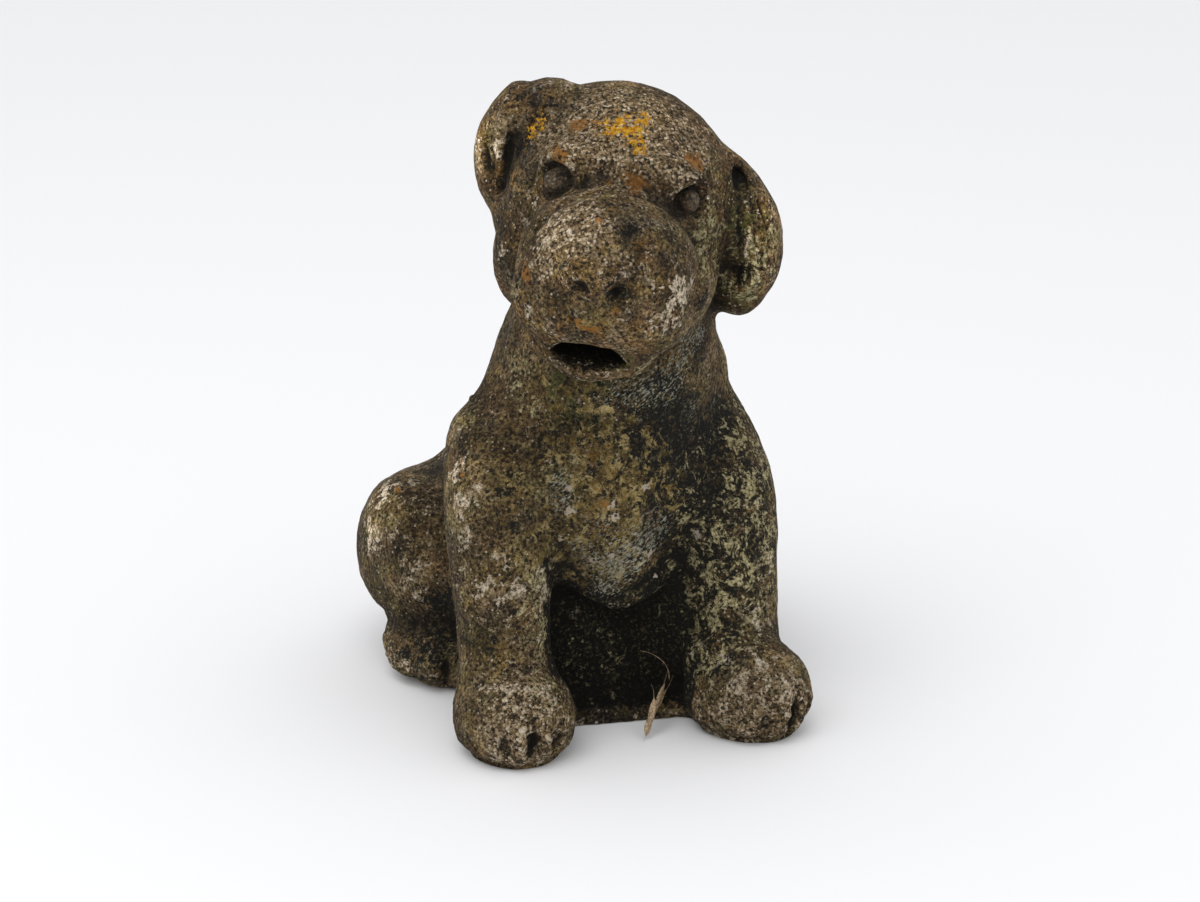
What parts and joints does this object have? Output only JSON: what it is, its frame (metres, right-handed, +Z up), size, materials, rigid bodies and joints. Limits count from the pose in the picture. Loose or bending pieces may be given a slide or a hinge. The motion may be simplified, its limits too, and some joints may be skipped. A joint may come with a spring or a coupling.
{
  "type": "puppy garden statue",
  "caption": "Sitting puppy garden statue in weathered cast stone, head tilted and turned, a folded ear and a hanging ear, moss and lichen on the surface.",
  "frame": {"origin": "on the ground, at the middle of the statue's box seen from above", "axes": "+Z up, the puppy looks along -Y, its left side is at +X"},
  "size_m": [0.1544, 0.2026, 0.2427],
  "materials": {
    "weathered_cast_stone": "rough, open-pored cast stone with dark grime, moss and lichen"
  },
  "bodies": {
    "root": {"puppy_statue": "weathered_cast_stone"}
  },
  "joints": []
}
